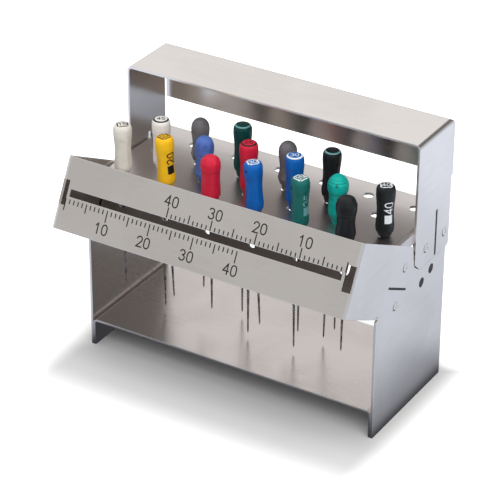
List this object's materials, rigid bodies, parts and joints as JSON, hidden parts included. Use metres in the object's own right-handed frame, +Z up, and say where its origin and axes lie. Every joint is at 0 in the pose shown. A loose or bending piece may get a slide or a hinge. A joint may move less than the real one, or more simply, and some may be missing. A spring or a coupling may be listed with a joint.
{
  "type": "endodontic file stand",
  "caption": "Folded steel stand that holds endodontic files upright in a perforated plate, with a slanted millimetre ruler in front.",
  "frame": {"origin": "middle of the bounding box's underside, on the worktop", "axes": "+X along the strap and the ruler to the right, -Y towards the ruler at the front, +Z up"},
  "size_m": [0.0674, 0.0432, 0.0584],
  "materials": {
    "steel_sheet": "fine satin, lightly grained",
    "file_steel": "ground steel",
    "beige_plastic": "moulded, semi-gloss",
    "yellow_plastic": "moulded, semi-gloss",
    "red_plastic": "moulded, semi-gloss",
    "blue_plastic": "moulded, semi-gloss",
    "green_plastic": "moulded, semi-gloss",
    "dark_green_plastic": "moulded, semi-gloss",
    "black_plastic": "moulded, semi-gloss",
    "white_plastic": "moulded, semi-gloss",
    "periwinkle_plastic": "moulded, semi-gloss",
    "teal_plastic": "moulded, semi-gloss",
    "grey_plastic": "moulded, semi-gloss"
  },
  "bodies": {
    "root": {"hoop": "steel_sheet", "ruler_body": "steel_sheet", "guide_sheet": "steel_sheet", "file_plate": "steel_sheet", "base_shelf": "steel_sheet", "file_row1_1_beige_handle": "beige_plastic", "file_row1_1_beige_shaft": "file_steel", "file_row1_2_yellow_handle": "yellow_plastic", "file_row1_2_yellow_shaft": "file_steel", "file_row1_3_red_handle": "red_plastic", "file_row1_3_red_shaft": "file_steel", "file_row1_4_blue_handle": "blue_plastic", "file_row1_4_blue_shaft": "file_steel", "file_row1_5_green_handle": "green_plastic", "file_row1_5_green_shaft": "file_steel", "file_row1_6_black_handle": "black_plastic", "file_row1_6_black_shaft": "file_steel", "file_row2_1_white_handle": "white_plastic", "file_row2_1_white_shaft": "file_steel", "file_row2_2_periwinkle_handle": "periwinkle_plastic", "file_row2_2_periwinkle_shaft": "file_steel", "file_row2_3_red_handle": "red_plastic", "file_row2_3_red_shaft": "file_steel", "file_row2_4_blue_handle": "blue_plastic", "file_row2_4_blue_shaft": "file_steel", "file_row2_5_teal_handle": "teal_plastic", "file_row2_5_teal_shaft": "file_steel", "file_row2_6_black_handle": "black_plastic", "file_row2_6_black_shaft": "file_steel", "file_row3_2_grey_handle": "grey_plastic", "file_row3_2_grey_shaft": "file_steel", "file_row3_3_green_handle": "dark_green_plastic", "file_row3_3_green_shaft": "file_steel", "file_row3_4_grey_handle": "grey_plastic", "file_row3_4_grey_shaft": "file_steel", "file_row3_5_black_handle": "black_plastic", "file_row3_5_black_shaft": "file_steel"}
  },
  "joints": []
}
